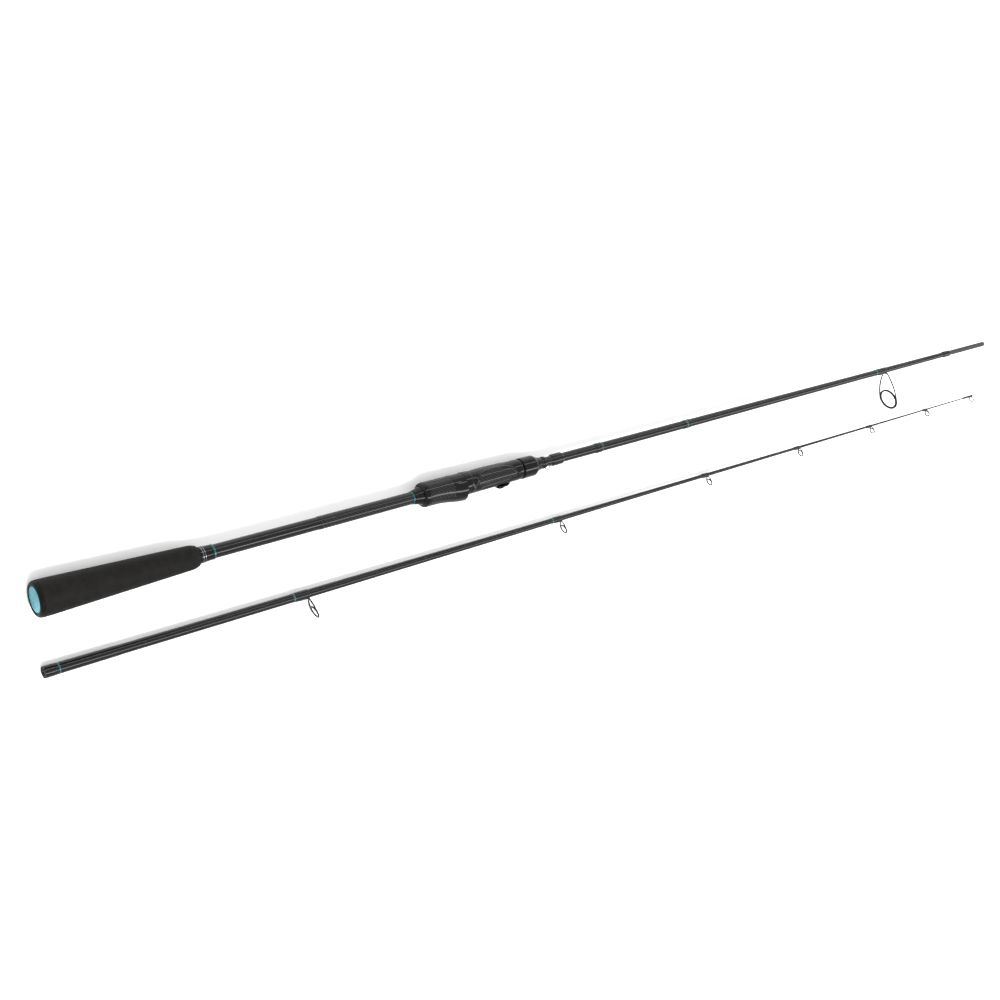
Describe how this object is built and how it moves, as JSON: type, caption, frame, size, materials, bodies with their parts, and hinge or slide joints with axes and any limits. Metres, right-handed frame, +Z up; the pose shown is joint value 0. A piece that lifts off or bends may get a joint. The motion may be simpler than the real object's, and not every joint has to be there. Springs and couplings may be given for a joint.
{
  "type": "spinning rod",
  "caption": "Two-piece spinning rod laid flat with its sections side by side: foam grip, skeleton reel seat with a sliding hood, tapered carbon blanks and ringed line guides.",
  "frame": {"origin": "on the surface that the rod lies on, below the middle of the butt cap's end face", "axes": "+X along the rod from the butt to the tip, +Z up, line guides towards -Y"},
  "size_m": [1.239, 0.112, 0.0314],
  "materials": {
    "eva_foam": "matte closed-cell EVA foam",
    "cap_rubber": "satin moulded rubber",
    "turquoise_anodised": "anodised, turned",
    "turquoise_trim": "muted anodised rings",
    "gloss_black": "gloss black",
    "silver_trim": "polished",
    "blank_graphite": "clear-coated carbon fibre",
    "woven_carbon": "woven carbon fibre under lacquer",
    "ground_ferrule": "ground carbon fibre",
    "thread_black": "thread wrap under epoxy",
    "thread_turquoise": "metallic thread under epoxy",
    "guide_frame": "dark plated wire",
    "guide_ceramic": "polished ceramic",
    "arbor_fibre": "resin-filled arbor"
  },
  "bodies": {
    "butt_section": {"eva_grip": "eva_foam", "butt_cap": "cap_rubber", "butt_cap_disc": "turquoise_anodised", "grip_check": "gloss_black", "grip_check_rings": "silver_trim", "grip_accent_ring": "turquoise_trim", "butt_blank": "blank_graphite", "ferrule_plug": "gloss_black", "carbon_weave_sleeve": "woven_carbon", "seat_accent_ring": "turquoise_trim", "seat_rear_collar": "gloss_black", "reel_seat_body": "gloss_black", "rear_inlay_upper": "woven_carbon", "rear_inlay_lower": "woven_carbon", "side_inlay_upper": "woven_carbon", "side_inlay_lower": "woven_carbon", "rear_arbor": "arbor_fibre", "front_arbor": "arbor_fibre", "front_check": "gloss_black", "keeper_wrap": "thread_black", "hook_keeper": "guide_frame", "mid_wrap": "thread_black", "mid_wrap_accent": "thread_turquoise", "label_wrap": "thread_black", "label_wrap_accent": "thread_turquoise", "male_ferrule_wrap": "thread_black", "guide_1_frame": "guide_frame", "guide_1_ring": "guide_ceramic", "guide_1_wrap": "thread_black", "guide_1_accent": "thread_turquoise"},
    "hood": {"sliding_hood": "gloss_black"},
    "nut": {"lock_nut": "gloss_black"},
    "tip_section": {"tip_blank": "blank_graphite", "female_ferrule_wrap": "thread_black", "female_ferrule_accent": "thread_turquoise", "guide_2_frame": "guide_frame", "guide_2_ring": "guide_ceramic", "guide_2_wrap": "thread_black", "guide_3_frame": "guide_frame", "guide_3_ring": "guide_ceramic", "guide_3_wrap": "thread_black", "guide_4_frame": "guide_frame", "guide_4_ring": "guide_ceramic", "guide_4_wrap": "thread_black", "guide_5_frame": "guide_frame", "guide_5_ring": "guide_ceramic", "guide_5_wrap": "thread_black", "guide_6_frame": "guide_frame", "guide_6_ring": "guide_ceramic", "guide_6_wrap": "thread_black", "guide_7_frame": "guide_frame", "guide_7_ring": "guide_ceramic", "guide_7_wrap": "thread_black", "guide_2_accent": "thread_turquoise", "guide_3_accent": "thread_turquoise", "tip_top_tube": "guide_frame", "tip_top_frame": "guide_frame", "tip_top_ring": "guide_ceramic", "tip_top_wrap": "thread_black"}
  },
  "joints": [
    {"name": "tip_section_slide", "type": "slide", "parent": "butt_section", "child": "tip_section", "axis": [1, 0, 0], "range_m": [0, 1.2315]},
    {"name": "nut_turn", "type": "hinge", "parent": "butt_section", "child": "nut", "pos_m": [0.5077, 0, 0.0157], "axis": [1, 0, 0], "range_deg": [-1440, 2880]},
    {"name": "hood_slide", "type": "slide", "parent": "butt_section", "child": "hood", "axis": [1, 0, 0], "range_m": [-0.006, 0.012]}
  ],
  "couplings": [
    {"joint": "hood_slide", "follows": "nut_turn", "m_per_rad": 0.00023873}
  ]
}
